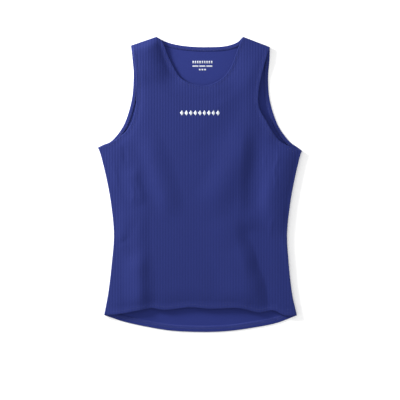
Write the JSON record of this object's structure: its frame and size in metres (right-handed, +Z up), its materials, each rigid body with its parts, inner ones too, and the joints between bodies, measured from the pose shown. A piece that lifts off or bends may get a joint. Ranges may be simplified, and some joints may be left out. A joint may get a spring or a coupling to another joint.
{
  "type": "sleeveless base layer top",
  "caption": "Sleeveless rib-knit base layer top, laid flat on its back, with a round neck, cut-in armholes, turned edges and a curved tail that drops below the front.",
  "frame": {"origin": "under the middle of the garment, on the surface that it lies on", "axes": "+Y from the tail to the neck, +X to the right of someone who looks down at the front, +Z up out of the front"},
  "size_m": [0.408, 0.59, 0.0128],
  "materials": {
    "front_knit": "royal blue rib knit, matt with a soft sheen",
    "back_knit": "royal blue knit, plain inside face",
    "turned_knit": "royal blue knit, turned to the inside and stitched"
  },
  "bodies": {
    "root": {"front_panel": "front_knit", "back_panel": "back_knit", "front_neck_turning": "turned_knit", "front_armhole_left_turning": "turned_knit", "front_armhole_right_turning": "turned_knit", "front_hem_turning": "turned_knit", "back_neck_turning": "turned_knit", "back_armhole_left_turning": "turned_knit", "back_armhole_right_turning": "turned_knit", "back_hem_turning": "turned_knit", "side_left_seam": "turned_knit", "side_right_seam": "turned_knit", "shoulder_left_seam": "turned_knit", "shoulder_right_seam": "turned_knit"}
  },
  "joints": []
}
